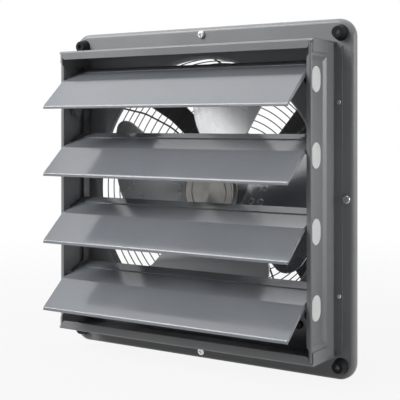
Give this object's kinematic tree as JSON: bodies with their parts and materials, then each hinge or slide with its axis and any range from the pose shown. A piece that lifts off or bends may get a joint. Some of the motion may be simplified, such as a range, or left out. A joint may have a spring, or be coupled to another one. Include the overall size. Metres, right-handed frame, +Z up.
{
  "type": "shuttered wall exhaust fan",
  "caption": "Square wall exhaust fan: a pitched-blade rotor on an external-rotor motor in a round throat, wire guard behind, hinged gravity louvres in front.",
  "frame": {"origin": "centre of the four mounting bolts, on the plane where the rubber feet bear on the wall", "axes": "+Z up, +Y along the fan axis away from the wall and towards the motor, +X to the right seen from the shutter side"},
  "size_m": [0.385, 0.2313, 0.385],
  "materials": {
    "panel_paint": "smooth semi-gloss grey paint",
    "rail_paint": "smooth semi-gloss grey paint",
    "louvre_paint": "glossy grey paint on thin sheet",
    "blade_sheet": "bare rolled sheet, satin",
    "black_steel": "black oxide",
    "spider_paint": "satin black paint",
    "rubber": "moulded black rubber",
    "zinc": "bright zinc plate",
    "wire": "black coated steel wire",
    "nylon": "natural nylon",
    "cast_aluminium": "as cast",
    "turned_aluminium": "fine turned face",
    "laminations": "stacked electrical steel",
    "copper": "varnished copper wire",
    "bearing_steel": "ground steel",
    "box_plastic": "textured moulding",
    "gland_plastic": "smooth moulding",
    "capacitor_case": "smooth moulded case"
  },
  "bodies": {
    "frame": {"orifice_panel": "panel_paint", "mounting_feet": "rubber", "foot_sleeves": "black_steel", "top_rail": "rail_paint", "bottom_rail": "rail_paint", "left_rail": "rail_paint", "right_rail": "rail_paint", "rail_screws": "zinc", "pivot_bushes": "nylon", "guard_screws": "zinc", "guard_nuts": "zinc", "guard_rings": "wire", "guard_ribs": "wire", "guard_tabs": "wire", "motor_spider": "spider_paint", "spider_bolts": "black_steel", "spider_nuts": "zinc", "stator_flange": "cast_aluminium", "stator_core": "laminations", "stator_winding": "copper", "front_bearing": "bearing_steel", "rear_bearing": "bearing_steel", "motor_bolts": "zinc", "terminal_box": "box_plastic", "terminal_lid": "box_plastic", "lid_screws": "zinc", "cable_gland": "gland_plastic", "gland_nut": "gland_plastic", "run_capacitor": "capacitor_case", "terminal_block": "nylon"},
    "rotor": {"rotor_can": "turned_aluminium", "rotor_cage": "laminations", "motor_shaft": "bearing_steel", "shaft_clip": "bearing_steel", "blade_hub": "blade_sheet", "blade_rivets": "zinc", "fan_blade_1": "blade_sheet", "fan_blade_2": "blade_sheet", "fan_blade_3": "blade_sheet", "fan_blade_4": "blade_sheet"},
    "shutter_blade_1": {"louvre_1": "louvre_paint", "louvre_pivots_1": "zinc", "louvre_crank_1": "zinc", "balance_weight": "zinc"},
    "shutter_blade_2": {"louvre_2": "louvre_paint", "louvre_pivots_2": "zinc", "louvre_crank_2": "zinc"},
    "shutter_blade_3": {"louvre_3": "louvre_paint", "louvre_pivots_3": "zinc", "louvre_crank_3": "zinc"},
    "shutter_blade_4": {"louvre_4": "louvre_paint", "louvre_pivots_4": "zinc", "louvre_crank_4": "zinc"},
    "link": {"tie_bar": "zinc"}
  },
  "joints": [
    {"name": "rotor_spin", "type": "hinge", "parent": "frame", "child": "rotor", "pos_m": [0, 0.06, 0], "axis": [0, 1, 0], "continuous": true},
    {"name": "louvre_1_swing", "type": "hinge", "parent": "frame", "child": "shutter_blade_1", "pos_m": [0, -0.029, 0.1333], "axis": [1, 0, 0], "range_deg": [-18, 40]},
    {"name": "louvre_2_swing", "type": "hinge", "parent": "frame", "child": "shutter_blade_2", "pos_m": [0, -0.029, 0.0545], "axis": [1, 0, 0], "range_deg": [-18, 40]},
    {"name": "louvre_3_swing", "type": "hinge", "parent": "frame", "child": "shutter_blade_3", "pos_m": [0, -0.029, -0.0243], "axis": [1, 0, 0], "range_deg": [-18, 40]},
    {"name": "louvre_4_swing", "type": "hinge", "parent": "frame", "child": "shutter_blade_4", "pos_m": [0, -0.029, -0.1031], "axis": [1, 0, 0], "range_deg": [-18, 40]},
    {"name": "tie_bar_swing", "type": "hinge", "parent": "shutter_blade_1", "child": "link", "pos_m": [-0.1643, -0.0025, 0.1463], "axis": [1, 0, 0], "range_deg": [-40, 18]}
  ],
  "couplings": [
    {"joint": "louvre_2_swing", "follows": "louvre_1_swing", "ratio": 1},
    {"joint": "louvre_3_swing", "follows": "louvre_1_swing", "ratio": 1},
    {"joint": "louvre_4_swing", "follows": "louvre_1_swing", "ratio": 1},
    {"joint": "tie_bar_swing", "follows": "louvre_1_swing", "ratio": -1}
  ]
}
